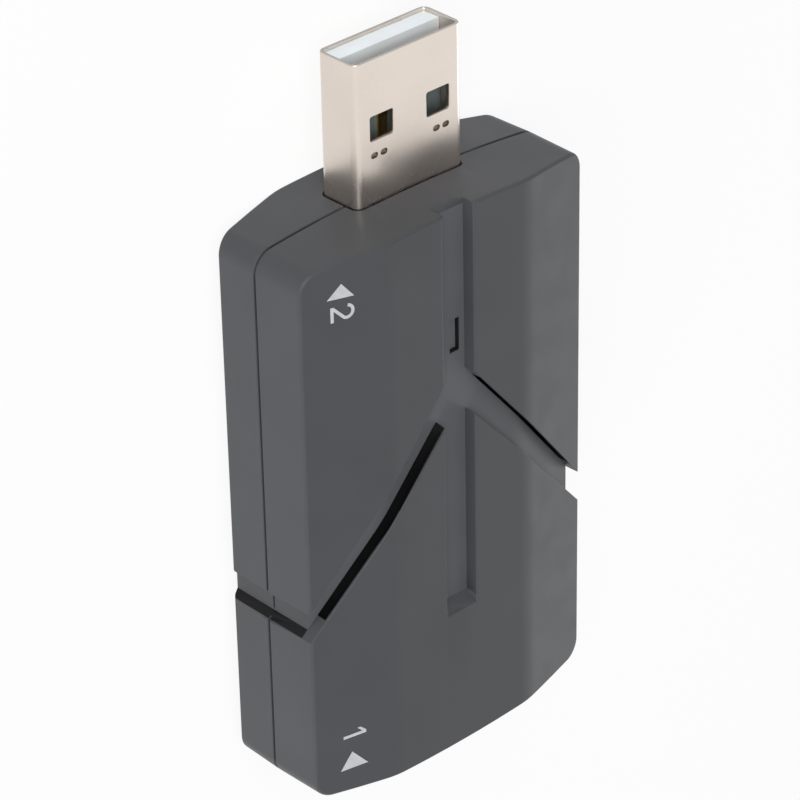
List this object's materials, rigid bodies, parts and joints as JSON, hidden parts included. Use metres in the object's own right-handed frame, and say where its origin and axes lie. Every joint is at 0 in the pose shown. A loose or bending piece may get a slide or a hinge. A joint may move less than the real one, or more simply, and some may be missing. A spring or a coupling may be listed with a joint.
{
  "type": "video capture stick",
  "caption": "Flat stick-shaped case with a faceted front and an arrow-shaped recess, a rectangular host plug at one end and a video socket at the other, holding a capture board.",
  "frame": {"origin": "middle of the flat strip along the back of the case, halfway between its bowed ends", "axes": "+X to the right seen from the front, +Y out of the host plug, +Z out of the front face"},
  "size_m": [0.0322, 0.0666, 0.0135],
  "materials": {
    "case_plastic": "fine matt moulded texture",
    "clear_plastic": "milky clear, polished",
    "board_laminate": "solder mask, semi-gloss",
    "plug_metal": "bright nickel plate",
    "socket_metal": "satin nickel plate",
    "white_plastic": "smooth moulded",
    "black_plastic": "smooth moulded",
    "gold_plate": "gold plate",
    "chip_resin": "moulded resin",
    "tin_plate": "tin plate",
    "brown_ceramic": "fired ceramic",
    "ferrite": "pressed iron powder",
    "tantalum_resin": "moulded resin",
    "fuse_body": "coated laminate",
    "lamp_resin": "clear resin"
  },
  "bodies": {
    "root": {"front_shell": "case_plastic", "back_shell": "case_plastic", "light_guide": "clear_plastic", "circuit_board": "board_laminate", "plug_shell": "plug_metal", "port_shell": "socket_metal", "plug_insulator": "white_plastic", "port_insulator": "black_plastic", "plug_contacts": "gold_plate", "port_contacts_upper": "gold_plate", "port_contacts_lower": "gold_plate", "capture_chip": "chip_resin", "receiver_chip": "chip_resin", "memory_chip": "chip_resin", "voltage_regulator": "chip_resin", "surge_protectors": "chip_resin", "resistors": "chip_resin", "capture_chip_leads": "tin_plate", "memory_chip_leads": "tin_plate", "regulator_leads": "tin_plate", "tantalum_terminals": "tin_plate", "fuse_terminals": "tin_plate", "lamp_terminals": "tin_plate", "capacitor_terminals": "tin_plate", "resistor_terminals": "tin_plate", "crystal_lid": "tin_plate", "ceramic_capacitors": "brown_ceramic", "crystal_base": "brown_ceramic", "power_inductor": "ferrite", "tantalum_capacitor": "tantalum_resin", "resettable_fuse": "fuse_body", "indicator_lamp": "lamp_resin"}
  },
  "joints": []
}
